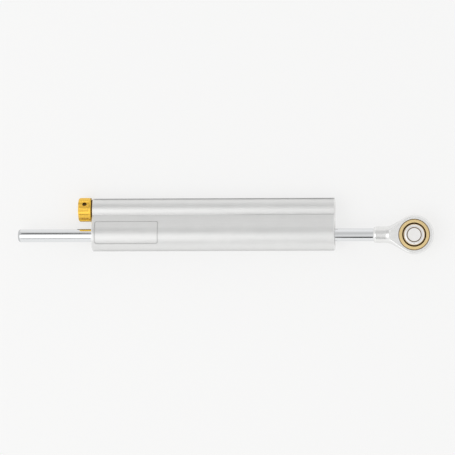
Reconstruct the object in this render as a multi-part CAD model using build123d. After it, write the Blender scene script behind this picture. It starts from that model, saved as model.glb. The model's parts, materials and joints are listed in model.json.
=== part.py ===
from build123d import *
import math
import os

# Motorcycle steering damper with a through rod, a rod eye and a knob that sets a needle valve.
# Lengths are in millimetres and angles in degrees. X runs along the rod towards the rod eye, Z points
# away from the surface that the damper lies on, and the origin is the centre of the ball in the eye.

# Lengths along the rod
body_length = 148.8
free_rod_showing = 45.8
eye_rod_showing = 23.6
stroke = 68.0
stop_gap = 0.3

# Layers outwards from the rod to the skin of the body's large lobe
rod_r = 4.0
bush_wall = 1.0
seal_section = 2.0
gland_wall = 1.7
bore_step = 0.4
tube_wall = 2.05

# Layers outwards from the adjuster's spindle to the skin of the body's small lobe
spindle_r = 2.0
shoulder_step = 0.6
guide_play = 0.1
guide_flat_depth = 0.6
guide_wall = 1.2
valve_wall = 2.28

# Damper body, an extrusion with a large lobe round the rod and a small one round the adjuster
lobe_overlap = 0.55
valley_angle = 52.7
valley_fillet = 0.35
body_chamfer = 0.3
mouth_chamfer = 0.25
port_r = 1.25
port_margin = 0.3

# Bare panel outline engraved on the large lobe
panel_length = 39.1
panel_width = 14.2
panel_end_gap = 1.8
panel_side_shift = 0.7
panel_corner_r = 1.5
panel_line = 0.5
panel_depth = 0.3

# Clearances
run_gap = 0.03
slide_gap = 0.05
seat_gap = 0.02
overrun = 1.0

# Piston rod
rod_end_r = 1.8
stud_r = 3.0
stud_length = 10.5

# Piston, its band, its seal and its two snap rings
piston_length = 12.2
piston_gap = 0.15
band_width = 5.0
band_thickness = 1.4
piston_seal_width = 1.8
piston_seal_depth = 1.1
clip_thickness = 0.9
clip_r = 5.4
clip_groove_depth = 0.5
clip_opening = 60.0

# Glands at the body's two ends, with wiper, rod seal, guide bush and O-ring
mouth_depth = 1.6
snap_ring_thickness = 1.0
snap_ring_width = 1.5
snap_groove_depth = 0.5
snap_ring_opening = 42.0
snap_lug_r = 1.15
snap_lug_hole_r = 0.5
wiper_width = 3.2
wiper_lip = 0.8
wiper_lip_thickness = 0.5
rod_seal_width = 3.6
rod_seal_lip = 0.5
rod_seal_notch = 1.5
land_length = 1.2
land_gap = 0.3
gland_groove_offset = 5.0
ring_width = 1.8
ring_depth = 1.1

# Rod eye, turned and then milled flat on two sides
eye_reach = 24.9
shank_r = 5.1
shank_chamfer_length = 1.2
shank_chamfer = 0.6
neck_slope = 30.0
neck_fillet = 10.0
head_thickness = 9.0
flat_start = 15.3
stud_hole_relief = 0.8

# Spherical bearing in the eye, in layers outwards from the ball's bore
ball_bore_r = 4.0
ball_bore_chamfer = 0.45
ball_face_ring = 1.2
ball_wall = 3.9375
race_wall = 1.7125
race_lip = 0.67
race_edge_chamfer = 0.25
head_wall = 2.35

# Adjuster knob
knob_step = 0.52
knob_length = 7.9
knob_gap = 0.1
knob_corner_r = 1.3
knob_chamfer = 0.35
knob_cap = 2.0
flute_count = 8
flute_cutter_r = 3.0
flute_depth = 0.95
flute_stop = 1.1
flute_angle = 32.0
screw_hole_r = 1.25
screw_recess = 0.6
screw_socket = 1.5
screw_socket_depth = 1.5
click_count = 12
click_depth = 0.3
click_notch_length = 1.8

# Adjuster gland, whose dark flange is the collar behind the knob
collar_step = 1.65
collar_thickness = 0.6
collar_chamfer = 0.15
valve_gland_length = 21.0
spindle_length_in_gland = 8.0
valve_ring_offset = 5.2
valve_ring_width = 1.4
valve_ring_depth = 0.85
spindle_ring_depth = 0.9

# Spindle, detent, needle and valve seat
spindle_flat_depth = 0.4
shoulder_length = 1.4
thread_r = 1.5
thread_play = 0.6
click_ball_r = 0.75
click_ball_gap = 0.05
click_hole_depth = 4.4
needle_travel = 0.5
needle_back_gap = 0.5
slider_floor = 2.9
needle_gap = 0.1
needle_tip_r = 0.45
needle_taper = 5.5
seat_setback = 6.35
seat_length = 6.0
orifice_r = 1.5
orifice_length = 1.6
seat_outlet_r = 2.6

# Compensator piston, its spring and the plug that closes the small bore
compensator_gap = 3.7
compensator_length = 6.0
compensator_wall = 1.0
compensator_floor = 3.0
compensator_ring_offset = 1.0
spring_turns = 7
spring_sides = 12
spring_wire = 0.8
spring_gap = 0.3
plug_length = 6.5
plug_recess = 0.5
plug_socket = 4.0
plug_socket_depth = 3.0
plug_ring_offset = 3.8

full_turn = 360.0

# Radii of the rod's side of the body, and of the eye
bush_r = rod_r + bush_wall
pocket_r = rod_r + seal_section
gland_bore_r = pocket_r + gland_wall
bore_r = gland_bore_r - bore_step
lobe_r = gland_bore_r + tube_wall
ball_r = ball_bore_r + ball_wall
race_r = ball_r + race_wall
head_r = race_r + head_wall

# Radii of the adjuster's side of the body
shoulder_r = spindle_r + shoulder_step
guide_flat = shoulder_r + guide_play
guide_r = guide_flat + guide_flat_depth
valve_bore_r = guide_r + guide_wall
click_circle_r = (spindle_r + valve_bore_r) / 2
collar_r = valve_bore_r + collar_step
small_lobe_r = valve_bore_r + valve_wall
knob_r = small_lobe_r + knob_step
needle_r = orifice_r - needle_gap
compensator_cup_r = valve_bore_r - compensator_wall
spring_r = compensator_cup_r - spring_gap - spring_wire / 2

# Places along the rod
eye_face = -eye_reach
body_right = eye_face - eye_rod_showing
body_left = body_right - body_length
rod_left = body_left - free_rod_showing
piston_middle = (rod_left + eye_face) / 2
piston_reach = piston_length + 2 * clip_thickness
gland_reach = (body_length - stroke - piston_reach) / 2 - stop_gap
first_port = gland_reach + port_margin + port_r
last_port = body_length - first_port
seat_start = first_port + port_r + seat_setback

# Places along the adjuster, from the body's left end face
slider_end = valve_gland_length - needle_travel - slide_gap
slider_hole_end = slider_end - slider_floor
thread_end = slider_hole_end - needle_travel - thread_play

# The body rolls about the rod until the large lobe and the knob both lie on the surface.
axis_gap = lobe_r + small_lobe_r - lobe_overlap
axis_drop = lobe_r - knob_r
roll = math.degrees(math.asin(axis_drop / axis_gap))
adjuster_y = math.sqrt(axis_gap**2 - axis_drop**2)
adjuster_z = -axis_drop


def turned(*points):
    """A solid turned about the X axis from its half outline, a loop of (x, radius) points."""
    return revolve(make_face(Polyline(*points, close=True).edges()), Axis.X)


def tube(start, end, outer, inner):
    """A plain ring from start to end along X."""
    return turned((start, inner), (end, inner), (end, outer), (start, outer))


def shaft(start, end, radius):
    """A plain round bar from start to end along X."""
    return turned((start, 0), (end, 0), (end, radius), (start, radius))


def seal_ring(start, width, outer, inner):
    """A rubber ring squeezed until it fills its groove."""
    return tube(start, start + width, outer, inner)


def turned_outline(lines):
    """A solid turned about the X axis from a loop of lines and arcs."""
    return revolve(make_face([edge for line in lines for edge in line.edges()]), Axis.X)


def arc_middle(middle, radius, angle):
    """The point (x, r) at an angle on a circle about a middle point."""
    turn = math.radians(angle)
    return middle[0] + radius * math.cos(turn), middle[1] + radius * math.sin(turn)


def at_ends(part):
    """The two placings of a part drawn inwards from X = 0: at the body's left end and at its right end."""
    return {
        "left": Pos(body_left, 0, 0) * part,
        "right": Pos(body_right, 0, 0) * Rot(0, 0, full_turn / 2) * part,
    }


def on_adjuster(part):
    """Moves a part drawn on the X axis, from the body's left end face, to the adjuster's axis."""
    return Pos(body_left, adjuster_y, adjuster_z) * part


def body_section():
    """The body's outline: two lobes, with straight flanks from the large one to the valley."""
    back = math.radians(valley_angle)
    reach = axis_gap - small_lobe_r * math.cos(back)
    rise = small_lobe_r * math.sin(back)
    tangent_angle = math.atan2(rise, reach) + math.acos(lobe_r / math.hypot(reach, rise))
    flank = (lobe_r * math.cos(tangent_angle), lobe_r * math.sin(tangent_angle))
    flank_below = (flank[0], -flank[1])
    valley = (reach, rise)
    valley_below = (reach, -rise)
    outline = [
        ThreePointArc(flank_below, (-lobe_r, 0), flank),
        Line(flank, valley),
        ThreePointArc(valley, (axis_gap + small_lobe_r, 0), valley_below),
        Line(valley_below, flank_below),
    ]
    section = make_face([edge for line in outline for edge in line.edges()])
    valleys = [v for v in section.vertices() if abs(v.X - reach) < valley_fillet]
    return fillet(valleys, valley_fillet)


def panel_cut(section):
    """The engraved line of the bare panel, as deep everywhere as the surface is curved."""
    skin = extrude(Plane.YZ * (section - offset(section, -panel_depth)), body_length)
    outer = RectangleRounded(panel_length, panel_width, panel_corner_r)
    inner_size = [panel_length - 2 * panel_line, panel_width - 2 * panel_line]
    inner = RectangleRounded(*inner_size, panel_corner_r - panel_line)
    middle = Pos(panel_end_gap + panel_length / 2, panel_side_shift, 0)
    return middle * extrude(outer - inner, lobe_r + overrun) & skin


def damper_body():
    """The extruded body with its two bores, the ports between them and the engraved panel."""
    section = body_section()
    body = extrude(Plane.YZ * section, body_length)
    rims = body.edges().filter_by(lambda edge: edge.length > lobe_r and is_across(edge))
    body = chamfer(rims, body_chamfer)
    body -= panel_cut(section)
    body = Rot(-roll, 0, 0) * body
    body -= tube_bore()
    body -= Pos(0, adjuster_y, adjuster_z) * valve_bore()
    for place in (first_port, last_port):
        drill = extrude(Circle(port_r), axis_gap)
        body -= Pos(place, 0, 0) * Rot(-roll, 0, 0) * Rot(-full_turn / 4, 0, 0) * drill
    return Pos(body_left, 0, 0) * body


def is_across(edge):
    """Whether an edge lies in a plane square to X."""
    box = edge.bounding_box()
    return box.size.X < seat_gap


def tube_bore():
    """The space cut for the rod, the piston, the glands and their snap rings."""
    groove_r = gland_bore_r + snap_groove_depth
    half = turned(
        (-overrun, 0),
        (-overrun, gland_bore_r + mouth_chamfer + overrun),
        (mouth_chamfer, gland_bore_r),
        (mouth_depth, gland_bore_r),
        (mouth_depth, groove_r),
        (mouth_depth + snap_ring_thickness, groove_r),
        (mouth_depth + snap_ring_thickness, gland_bore_r),
        (gland_reach, gland_bore_r),
        (gland_reach, bore_r),
        (body_length / 2, bore_r),
        (body_length / 2, 0),
    )
    return half + Pos(body_length, 0, 0) * Rot(0, 0, full_turn / 2) * half


def valve_bore():
    """The space cut for the adjuster, the needle, the seat, the compensator and the plug."""
    half = turned(
        (-overrun, 0),
        (-overrun, valve_bore_r + mouth_chamfer + overrun),
        (mouth_chamfer, valve_bore_r),
        (body_length / 2, valve_bore_r),
        (body_length / 2, 0),
    )
    return half + Pos(body_length, 0, 0) * Rot(0, 0, full_turn / 2) * half


def gland_places():
    """Where each thing in a gland starts, counted inwards from the body's end face."""
    start = mouth_depth + snap_ring_thickness
    wiper_end = start + wiper_width
    seal_start = wiper_end + land_length
    seal_end = seal_start + rod_seal_width
    bush_start = seal_end + land_length
    return start, wiper_end, seal_start, seal_end, bush_start


def rod_gland():
    """The turned bush that closes the large bore round the rod."""
    start, wiper_end, seal_start, seal_end, bush_start = gland_places()
    land = rod_r + land_gap
    outer = gland_bore_r - seat_gap
    groove_start = bush_start + gland_groove_offset
    body = turned(
        (start, pocket_r),
        (wiper_end, pocket_r),
        (wiper_end, land),
        (seal_start, land),
        (seal_start, pocket_r),
        (seal_end, pocket_r),
        (seal_end, land),
        (bush_start, land),
        (bush_start, bush_r),
        (gland_reach, bush_r),
        (gland_reach, outer),
        (start, outer),
    )
    return body - tube(groove_start, groove_start + ring_width, outer + overrun, outer - ring_depth)


def gland_ring():
    """The O-ring round a gland."""
    start = gland_places()[-1] + gland_groove_offset
    outer = gland_bore_r - seat_gap
    return seal_ring(start, ring_width, outer, outer - ring_depth)


def rod_wiper():
    """The scraper at a gland's mouth, with a lip that points outwards."""
    start, end = gland_places()[:2]
    inner = rod_r + run_gap
    tip = start - wiper_lip
    heel = inner + 2 * wiper_lip_thickness
    return turned(
        (tip, inner),
        (tip, inner + wiper_lip_thickness),
        (start, heel),
        (start, pocket_r - seat_gap),
        (end, pocket_r - seat_gap),
        (end, heel),
        (start + wiper_lip_thickness, heel - wiper_lip_thickness),
        (start + wiper_lip_thickness, inner),
    )


def rod_seal():
    """The lip seal in a gland, open towards the oil."""
    start, end = gland_places()[2:4]
    inner = rod_r + run_gap
    outer = pocket_r - seat_gap
    return turned(
        (start, inner),
        (end, inner),
        (end, inner + rod_seal_lip),
        (end - rod_seal_notch, (inner + outer) / 2),
        (end, outer - rod_seal_lip),
        (end, outer),
        (start, outer),
    )


def guide_bush():
    """The plain bearing that guides the rod in a gland."""
    return tube(gland_places()[-1], gland_reach, bush_r - seat_gap, rod_r + run_gap)


def snap_ring():
    """The ring that holds a gland in, with a lug and a pliers hole at each side of its opening."""
    outer = gland_bore_r + snap_groove_depth - seat_gap
    inner = outer - snap_ring_width
    lug_ring = outer - snap_lug_r - snap_ring_width / 2
    lug_angle = snap_ring_opening / 2 + math.degrees(snap_lug_r / lug_ring)
    ring = Circle(outer) - Circle(inner) - opening_wedge(outer, snap_ring_opening)
    for angle in (-lug_angle, lug_angle):
        place = Rot(0, 0, angle) * Pos(lug_ring, 0, 0)
        ring += place * Circle(snap_lug_r)
    for angle in (-lug_angle, lug_angle):
        ring -= Rot(0, 0, angle) * Pos(lug_ring, 0, 0) * Circle(snap_lug_hole_r)
    return Pos(mouth_depth, 0, 0) * extrude(Plane.YZ * ring, snap_ring_thickness)


def opening_wedge(radius, angle):
    """A triangle from the centre that takes out a ring's opening, on the sketch's +X side."""
    reach = radius + overrun
    spread = reach * math.tan(math.radians(angle / 2))
    return make_face(Polyline((0, 0), (reach, -spread), (reach, spread), close=True).edges())


def piston_rod():
    """The ground rod, rounded at its free end, grooved for the piston and with a stud for the eye."""
    corner = (rod_left + rod_end_r, rod_r - rod_end_r)
    bulge = arc_middle(corner, rod_end_r, full_turn * 3 / 8)
    stud_end = eye_face + stud_length
    rod = turned_outline(
        [
            Line((rod_left, 0), (rod_left, corner[1])),
            ThreePointArc((rod_left, corner[1]), bulge, (corner[0], rod_r)),
            Polyline((corner[0], rod_r), (eye_face, rod_r), (eye_face, stud_r), (stud_end, stud_r)),
            Polyline((stud_end, stud_r), (stud_end, 0), (rod_left, 0)),
        ]
    )
    for start in clip_starts():
        rod -= tube(start, start + clip_thickness, rod_r + overrun, rod_r - clip_groove_depth)
    return rod


def clip_starts():
    """Where the piston's two snap rings start, outside its two faces."""
    half = piston_length / 2
    return piston_middle - half - clip_thickness, piston_middle + half


def piston():
    """The piston, with a groove outside for its band and one inside for its seal."""
    outer = bore_r - piston_gap
    half = piston_length / 2
    body = tube(piston_middle - half, piston_middle + half, outer, rod_r + seat_gap)
    groove = tube(*band_span(slide_gap), outer + overrun, band_inner() - run_gap)
    seal = tube(*piston_seal_span(), rod_r + piston_seal_depth, rod_r - overrun)
    return body - groove - seal


def band_span(play):
    """The piston band's two faces along X, with a play added at each side."""
    half = band_width / 2 + play
    return piston_middle - half, piston_middle + half


def band_inner():
    """The piston band's inner radius."""
    return bore_r - run_gap - band_thickness


def piston_seal_span():
    """The two faces of the groove inside the piston for its seal."""
    half = piston_seal_width / 2
    return piston_middle - half, piston_middle + half


def piston_band():
    """The slippery band that rides in the bore."""
    return tube(*band_span(0), bore_r - run_gap, band_inner())


def piston_seal():
    """The O-ring between the piston and the rod."""
    start = piston_seal_span()[0]
    return seal_ring(start, piston_seal_width, rod_r + piston_seal_depth, rod_r + seat_gap)


def piston_clips():
    """The two open rings in the rod's grooves, one at each face of the piston."""
    ring = Circle(clip_r) - Circle(rod_r - clip_groove_depth + seat_gap)
    ring -= opening_wedge(clip_r, clip_opening)
    clip = extrude(Plane.YZ * ring, clip_thickness)
    return Compound(children=[Pos(start, 0, 0) * clip for start in clip_starts()])


def rod_eye():
    """The eye: a turned shank, neck and round head, milled flat and bored for the bearing."""
    slope = math.radians(neck_slope)
    quarter = full_turn / 4
    touch = arc_middle((0, 0), head_r, quarter + neck_slope)
    corner_x = touch[0] - (touch[1] - shank_r) / math.tan(slope)
    neck = (corner_x - neck_fillet * math.tan(slope / 2), shank_r + neck_fillet)
    neck_middle = arc_middle(neck, neck_fillet, neck_slope / 2 - quarter)
    neck_end = arc_middle(neck, neck_fillet, neck_slope - quarter)
    crown = arc_middle((0, 0), head_r, (quarter + neck_slope) / 2)
    shank_start = (eye_face + shank_chamfer_length, shank_r)
    eye = turned_outline(
        [
            Polyline((eye_face, 0), (eye_face, shank_r - shank_chamfer), shank_start, (neck[0], shank_r)),
            ThreePointArc((neck[0], shank_r), neck_middle, neck_end),
            Line(neck_end, touch),
            ThreePointArc(touch, crown, (head_r, 0)),
            Line((head_r, 0), (eye_face, 0)),
        ]
    )
    for side in (-1, 1):
        eye -= milled_side(side)
    eye -= stud_hole()
    return eye - upright(race_bore())


def milled_side(side):
    """What the cutter takes off one side of the head, above its flat."""
    length = flat_start + head_r + overrun
    height = head_r
    middle = (length / 2 - flat_start, 0, side * (head_thickness + height) / 2)
    return Pos(*middle) * Box(length, 2 * (head_r + overrun), height)


def stud_hole():
    """The threaded hole in the shank for the rod's stud."""
    return shaft(eye_face - overrun, eye_face + stud_length + stud_hole_relief, stud_r + seat_gap)


def upright(part):
    """Stands a part that was turned about X on the Z axis."""
    return Rot(0, -full_turn / 4, 0) * part


def race_bore():
    """The hole through the head for the race, with its two edges broken."""
    half = head_thickness / 2
    edge_r = race_r + race_edge_chamfer
    return turned(
        (-half - overrun, 0),
        (-half - overrun, edge_r),
        (-half, edge_r),
        (race_edge_chamfer - half, race_r),
        (half - race_edge_chamfer, race_r),
        (half, edge_r),
        (half + overrun, edge_r),
        (half + overrun, 0),
    )


def eye_race():
    """The race pressed into the head, hollow inside to the ball's sphere."""
    half = head_thickness / 2
    outer = race_r - seat_gap
    edge = half - race_edge_chamfer
    inner_r = ball_r + run_gap
    mouth_r = inner_r - race_lip
    lip = math.sqrt(inner_r**2 - mouth_r**2)
    race = turned_outline(
        [
            ThreePointArc((-lip, mouth_r), (0, inner_r), (lip, mouth_r)),
            Polyline((lip, mouth_r), (half, mouth_r), (half, outer - race_edge_chamfer)),
            Polyline((half, outer - race_edge_chamfer), (edge, outer), (-edge, outer)),
            Polyline((-edge, outer), (-half, outer - race_edge_chamfer), (-half, mouth_r)),
            Line((-half, mouth_r), (-lip, mouth_r)),
        ]
    )
    return upright(race)


def eye_ball():
    """The bored ball that swivels in the race."""
    face_r = ball_bore_r + ball_face_ring
    half = math.sqrt(ball_r**2 - face_r**2)
    edge_r = ball_bore_r + ball_bore_chamfer
    bore_half = half - ball_bore_chamfer
    ball = turned_outline(
        [
            ThreePointArc((-half, face_r), (0, ball_r), (half, face_r)),
            Polyline((half, face_r), (half, edge_r), (bore_half, ball_bore_r), (-bore_half, ball_bore_r)),
            Polyline((-bore_half, ball_bore_r), (-half, edge_r), (-half, face_r)),
        ]
    )
    return upright(ball)


def knob_span():
    """The knob's outer and inner faces along the adjuster's axis."""
    inner = -collar_thickness - knob_gap
    return inner - knob_length, inner


def around(angle):
    """Turns what points along Z to an angle from Z towards +Y, about the X axis."""
    return Rot(-angle, 0, 0)


def adjuster_knob():
    """The scalloped knob, with a full rim at its inner end and a radial hole for its set screw."""
    outer_face, inner_face = knob_span()
    corner = (outer_face + knob_corner_r, knob_r - knob_corner_r)
    bulge = arc_middle(corner, knob_corner_r, full_turn * 3 / 8)
    rim = (inner_face - knob_chamfer, knob_r)
    knob = turned_outline(
        [
            Line((outer_face, 0), (outer_face, corner[1])),
            ThreePointArc((outer_face, corner[1]), bulge, (corner[0], knob_r)),
            Polyline((corner[0], knob_r), rim, (inner_face, knob_r - knob_chamfer), (inner_face, 0)),
            Line((inner_face, 0), (outer_face, 0)),
        ]
    )
    flute_length = knob_length - flute_stop
    cutter = shaft(outer_face - overrun, outer_face + flute_length, flute_cutter_r)
    cutter_height = knob_r + flute_cutter_r - flute_depth
    for index in range(flute_count):
        angle = flute_angle + index * full_turn / flute_count
        knob -= around(angle) * Pos(0, 0, cutter_height) * cutter
    knob -= shaft(outer_face + knob_cap, inner_face + overrun, spindle_r + seat_gap)
    knob -= around(flute_angle) * screw_hole()
    for index in range(click_count):
        knob -= around(index * full_turn / click_count) * click_notch(inner_face)
    return on_adjuster(knob)


def click_notch(face):
    """A shallow V notch in the knob's inner face, drawn along Z for the detent ball to fall into."""
    side = click_depth * math.sqrt(2)
    notch = Rot(0, 0, full_turn / 8) * Box(side, side, click_notch_length)
    return Pos(face, 0, click_circle_r) * notch


def screw_middle():
    """The set screw's place along the adjuster's axis, at the middle of the knob."""
    return sum(knob_span()) / 2


def screw_hole():
    """The radial hole for the set screw, from the spindle's bore outwards."""
    return Pos(screw_middle(), 0, 0) * extrude(Circle(screw_hole_r), knob_r + overrun)


def knob_set_screw():
    """The socket screw that holds the knob on the flat of its spindle."""
    bottom = spindle_r - spindle_flat_depth
    length = knob_r - flute_depth - screw_recess - bottom
    screw = extrude(Circle(screw_hole_r - seat_gap), length)
    socket = RegularPolygon(screw_socket / 2, 6, major_radius=False)
    screw -= Pos(0, 0, length - screw_socket_depth) * extrude(socket, screw_socket_depth + overrun)
    return on_adjuster(around(flute_angle) * Pos(screw_middle(), 0, bottom) * screw)


def adjuster_gland():
    """The screwed-in gland: collar, neck with detent hole and grooves, and guide for the needle."""
    outer = valve_bore_r - seat_gap
    neck_end = spindle_length_in_gland
    gland = turned(
        (-collar_thickness, spindle_r + run_gap),
        (neck_end, spindle_r + run_gap),
        (neck_end, outer),
        (0, outer),
        (0, collar_r - collar_chamfer),
        (-collar_chamfer, collar_r),
        (collar_chamfer - collar_thickness, collar_r),
        (-collar_thickness, collar_r - collar_chamfer),
    )
    gland += shaft(neck_end, valve_gland_length, outer)
    gland -= guide_space(0)
    start = valve_ring_offset
    end = start + valve_ring_width
    gland -= tube(start, end, outer + overrun, outer - valve_ring_depth)
    gland -= tube(start, end, spindle_r + spindle_ring_depth, spindle_r)
    return on_adjuster(gland - click_hole())


def guide_space(clearance):
    """The round space with one flat that keeps the needle from turning, smaller by a clearance."""
    start = spindle_length_in_gland
    space = shaft(start, valve_gland_length + overrun, guide_r - clearance)
    height = guide_r
    length = valve_gland_length
    middle = (start + length / 2, 0, guide_flat - clearance + height / 2)
    return space - Pos(*middle) * Box(length + 2 * overrun, 2 * guide_r, height)


def click_hole():
    """The blind hole in the collar's face for the detent's spring and ball."""
    start = -collar_thickness
    hole = shaft(start - overrun, start + click_hole_depth, click_ball_r + slide_gap)
    return Pos(0, 0, click_circle_r) * hole


def click_ball_middle():
    """The detent ball's place along the adjuster's axis, just short of the knob's face."""
    return knob_span()[1] + click_ball_gap + click_ball_r


def detent_ball():
    """The ball that clicks into the knob's notches."""
    return on_adjuster(Pos(click_ball_middle(), 0, click_circle_r) * Sphere(click_ball_r))


def detent_spring():
    """The small spring behind the detent ball, drawn as its closed sleeve."""
    start = click_ball_middle() + click_ball_r
    end = click_hole_depth - collar_thickness
    wire = click_ball_r / 3
    return on_adjuster(Pos(0, 0, click_circle_r) * tube(start, end, click_ball_r, click_ball_r - wire))


def valve_gland_ring():
    """The O-ring round the adjuster gland."""
    outer = valve_bore_r - seat_gap
    ring = seal_ring(valve_ring_offset, valve_ring_width, outer, outer - valve_ring_depth)
    return on_adjuster(ring)


def spindle_ring():
    """The O-ring round the spindle, in the gland."""
    inner = spindle_r + run_gap
    outer = spindle_r + spindle_ring_depth
    return on_adjuster(seal_ring(valve_ring_offset, valve_ring_width, outer, inner))


def adjuster_spindle():
    """The spindle: round in the knob and gland, a shoulder behind the gland, then its thread."""
    start = knob_span()[0] + knob_cap
    neck_end = spindle_length_in_gland + slide_gap
    thread_start = neck_end + shoulder_length
    spindle = shaft(start, neck_end + overrun / 2, spindle_r)
    spindle += shaft(neck_end, thread_start, shoulder_r)
    spindle += shaft(thread_start, thread_end, thread_r)
    flat_length = knob_length - knob_cap
    height = spindle_r
    flat_z = spindle_r - spindle_flat_depth + height / 2
    flat = Pos(start + flat_length / 2, 0, flat_z) * Box(flat_length, 2 * spindle_r, height)
    return on_adjuster(spindle - around(flute_angle) * flat)


def slider_start():
    """Where the needle's slider starts at rest, half way along its travel."""
    return spindle_length_in_gland + slide_gap + shoulder_length + needle_travel + needle_back_gap


def needle():
    """The needle: a flatted slider with the spindle's thread inside, a thin stem and a taper."""
    start = slider_start()
    taper_start = seat_start - needle_travel - needle_back_gap / 2
    slider = guide_space(slide_gap) & tube(start, slider_end, guide_r, 0)
    stem = turned(
        (slider_end, 0),
        (slider_end, needle_r),
        (taper_start, needle_r),
        (taper_start + needle_taper, needle_tip_r),
        (taper_start + needle_taper, 0),
    )
    hole = shaft(start - overrun, slider_hole_end, thread_r + slide_gap)
    return on_adjuster(slider + stem - hole)


def valve_seat():
    """The seat with the orifice that the needle closes."""
    outer = valve_bore_r - seat_gap
    end = seat_start + seat_length
    throat_end = seat_start + orifice_length
    flare = throat_end + seat_outlet_r - orifice_r
    return on_adjuster(
        turned(
            (seat_start, orifice_r),
            (throat_end, orifice_r),
            (flare, seat_outlet_r),
            (end, seat_outlet_r),
            (end, outer),
            (seat_start, outer),
        )
    )


def compensator_start():
    """The compensator piston's wet face, past the last port."""
    return last_port + port_r + compensator_gap


def compensator_piston():
    """The floating piston, hollow behind for its spring and grooved for its O-ring."""
    start = compensator_start()
    end = start + compensator_length
    floor = start + compensator_floor
    outer = valve_bore_r - slide_gap
    cup = turned(
        (start, 0),
        (floor, 0),
        (floor, compensator_cup_r),
        (end, compensator_cup_r),
        (end, outer),
        (start, outer),
    )
    ring_start = start + compensator_ring_offset
    groove = tube(ring_start, ring_start + valve_ring_width, outer + overrun, outer - valve_ring_depth)
    return on_adjuster(cup - groove)


def compensator_ring():
    """The O-ring round the compensator piston."""
    start = compensator_start() + compensator_ring_offset
    outer = valve_bore_r - run_gap
    inner = valve_bore_r - slide_gap - valve_ring_depth
    return on_adjuster(seal_ring(start, valve_ring_width, outer, inner))


def plug_start():
    """The inner face of the plug."""
    return body_length - plug_recess - plug_length


def compensator_spring():
    """The spring between the compensator piston and the plug, one wound wire of square section."""
    start = compensator_start() + compensator_floor + spring_wire / 2
    length = plug_start() - spring_wire / 2 - start
    steps = spring_turns * spring_sides
    route = []
    for index in range(steps + 1):
        angle = math.tau * index / spring_sides
        place = start + length * index / steps
        route.append((place, spring_r * math.cos(angle), spring_r * math.sin(angle)))
    path = Polyline(*route)
    section = Plane(path @ 0, x_dir=(1, 0, 0), z_dir=path % 0) * Rectangle(spring_wire, spring_wire)
    wire = sweep(section, path, transition=Transition.RIGHT)
    print("spring gap between turns", round(length / spring_turns - spring_wire, 3))
    return on_adjuster(wire)


def reservoir_plug():
    """The plug at the right end of the small bore, with a hexagon socket and an O-ring groove."""
    start = plug_start()
    end = start + plug_length
    outer = valve_bore_r - seat_gap
    plug = turned(
        (start, 0),
        (start, outer),
        (end - mouth_chamfer, outer),
        (end, outer - mouth_chamfer),
        (end, 0),
    )
    ring_end = end - plug_ring_offset
    ring_start = ring_end - valve_ring_width
    plug -= tube(ring_start, ring_end, outer + overrun, outer - valve_ring_depth)
    socket = RegularPolygon(plug_socket / 2, 6, major_radius=False)
    hole = extrude(Plane.YZ * socket, plug_socket_depth + overrun)
    return on_adjuster(plug - Pos(end - plug_socket_depth, 0, 0) * hole)


def plug_ring():
    """The O-ring round the plug."""
    outer = valve_bore_r - seat_gap
    start = plug_start() + plug_length - plug_ring_offset - valve_ring_width
    return on_adjuster(seal_ring(start, valve_ring_width, outer, outer - valve_ring_depth))


def all_parts():
    """Every node of the damper by name."""
    parts = {
        "damper_body": damper_body(),
        "piston_rod": piston_rod(),
        "piston": piston(),
        "piston_band": piston_band(),
        "piston_seal": piston_seal(),
        "piston_clips": piston_clips(),
        "rod_eye": rod_eye(),
        "eye_race": eye_race(),
        "eye_ball": eye_ball(),
        "adjuster_knob": adjuster_knob(),
        "knob_set_screw": knob_set_screw(),
        "adjuster_gland": adjuster_gland(),
        "adjuster_gland_ring": valve_gland_ring(),
        "spindle_ring": spindle_ring(),
        "adjuster_spindle": adjuster_spindle(),
        "detent_ball": detent_ball(),
        "detent_spring": detent_spring(),
        "needle": needle(),
        "valve_seat": valve_seat(),
        "compensator_piston": compensator_piston(),
        "compensator_ring": compensator_ring(),
        "compensator_spring": compensator_spring(),
        "reservoir_plug": reservoir_plug(),
        "plug_ring": plug_ring(),
    }
    paired = {
        "gland": rod_gland(),
        "gland_ring": gland_ring(),
        "wiper": rod_wiper(),
        "rod_seal": rod_seal(),
        "guide_bush": guide_bush(),
        "snap_ring": snap_ring(),
    }
    for name, part in paired.items():
        for side, placed in at_ends(part).items():
            parts[side + "_" + name] = placed
    return parts


def main():
    """Writes one file for each node."""
    os.makedirs("parts", exist_ok=True)
    for name, shape in all_parts().items():
        export_step(shape, "parts/" + name + ".step")
    half_stroke = stroke / 2
    middle = body_left + body_length / 2
    print("rod travel", middle - half_stroke - piston_middle, middle + half_stroke - piston_middle)
    print("adjuster axis", adjuster_y, adjuster_z, "roll", roll)
    print("body ends", body_left, body_right, "rod end", rod_left)


main()
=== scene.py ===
import json
import math

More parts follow.
